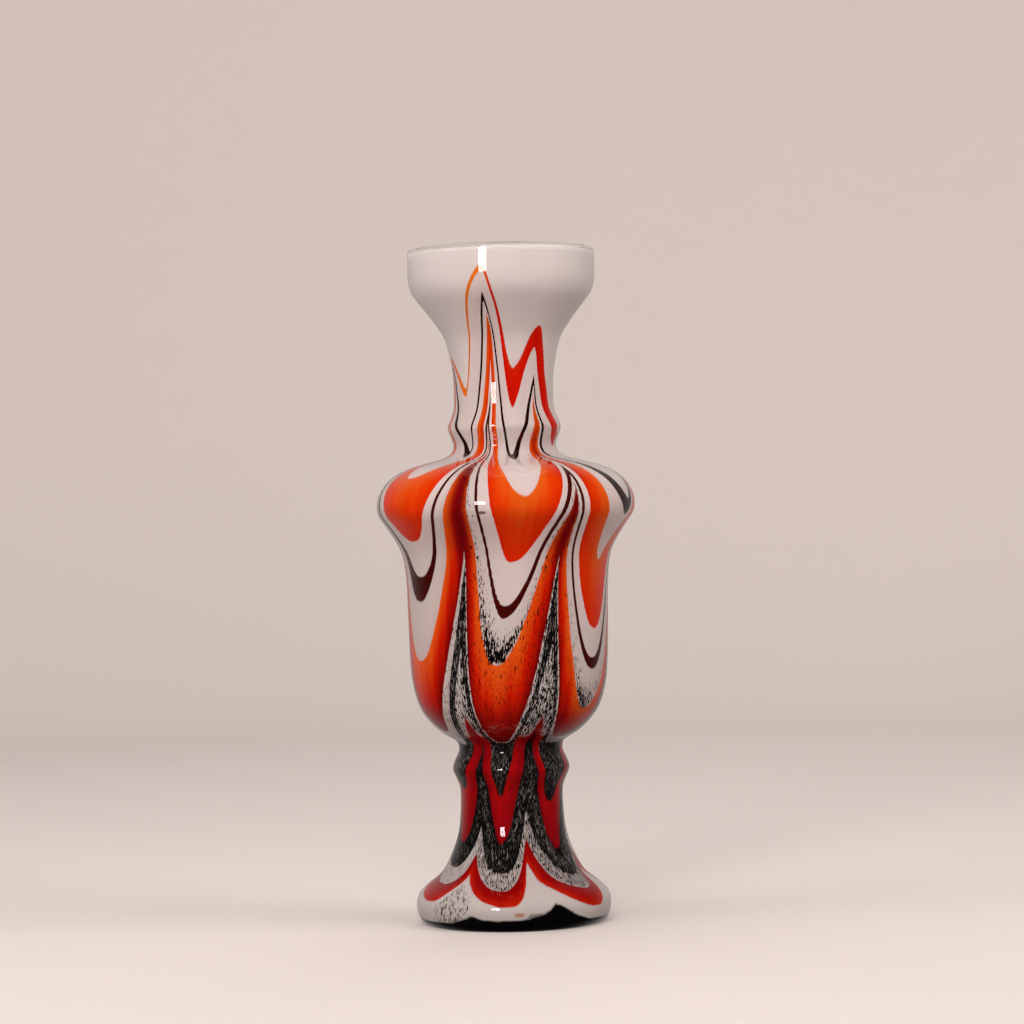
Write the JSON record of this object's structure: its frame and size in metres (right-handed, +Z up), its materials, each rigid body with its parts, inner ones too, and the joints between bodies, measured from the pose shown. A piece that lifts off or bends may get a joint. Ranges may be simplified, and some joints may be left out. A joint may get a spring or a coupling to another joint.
{
  "type": "art glass vase",
  "caption": "Tall cased glass vase with a cupped trumpet mouth, ringed neck, bell-shaped body, ringed waist and spreading foot, in opal glass with pulled orange, red and black festoons.",
  "frame": {"origin": "centre of the foot, on the surface that the vase stands on", "axes": "+Z up the vase's axis towards the mouth, -Y towards the viewer of its front, +X to that viewer's right"},
  "size_m": [0.162, 0.162, 0.42],
  "materials": {
    "clear_glass": "fire-polished clear casing, glossy",
    "opal_lining": "smooth opaque milk glass",
    "opal_ground": "opaque white glass under a clear glossy casing",
    "orange_glass": "opaque orange glass under a clear glossy casing",
    "red_glass": "opaque orange-red glass under a clear glossy casing",
    "black_glass": "opaque brown-black glass under a clear glossy casing"
  },
  "bodies": {
    "root": {"clear_casing": "clear_glass", "opal_lining": "opal_lining", "opal_ground": "opal_ground", "neck_trails": "orange_glass", "dark_threads": "black_glass", "shoulder_tongues": "orange_glass", "body_flames": "red_glass", "waist_teeth": "black_glass", "stem_flames": "red_glass", "foot_border": "red_glass", "black_foot": "black_glass"}
  },
  "joints": []
}
